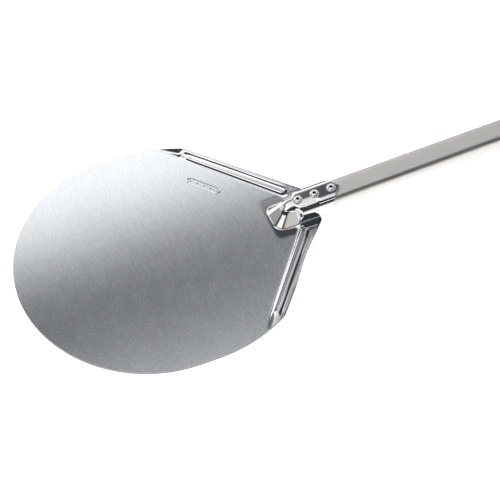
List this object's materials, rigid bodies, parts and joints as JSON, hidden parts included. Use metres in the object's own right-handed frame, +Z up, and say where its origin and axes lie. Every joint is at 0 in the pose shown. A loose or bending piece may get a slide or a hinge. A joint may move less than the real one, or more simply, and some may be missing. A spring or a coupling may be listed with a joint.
{
  "type": "pizza peel",
  "caption": "Round pressed-aluminium pizza peel with ribbed shoulders, a raised riveted neck and a flat-oval tube handle with a hanging end cap.",
  "frame": {"origin": "centre of the round blade, on its underside", "axes": "+X along the handle, away from the blade; +Z up out of the blade's food side"},
  "size_m": [0.9872, 0.33, 0.0517],
  "materials": {
    "blade_sheet": "brushed, with bright pressed ribs and neck",
    "strap_sheet": "bright pressed",
    "tube": "satin anodised",
    "rivet": "bright",
    "mandrel": "dull steel",
    "cap": "fine moulded texture"
  },
  "bodies": {
    "root": {"blade": "blade_sheet", "neck_strap": "strap_sheet", "handle_tube": "tube", "end_cap": "cap", "front_rivet_body": "rivet", "middle_rivet_body": "rivet", "rear_rivet_body": "rivet", "front_rivet_mandrel": "mandrel", "middle_rivet_mandrel": "mandrel", "rear_rivet_mandrel": "mandrel"}
  },
  "joints": []
}
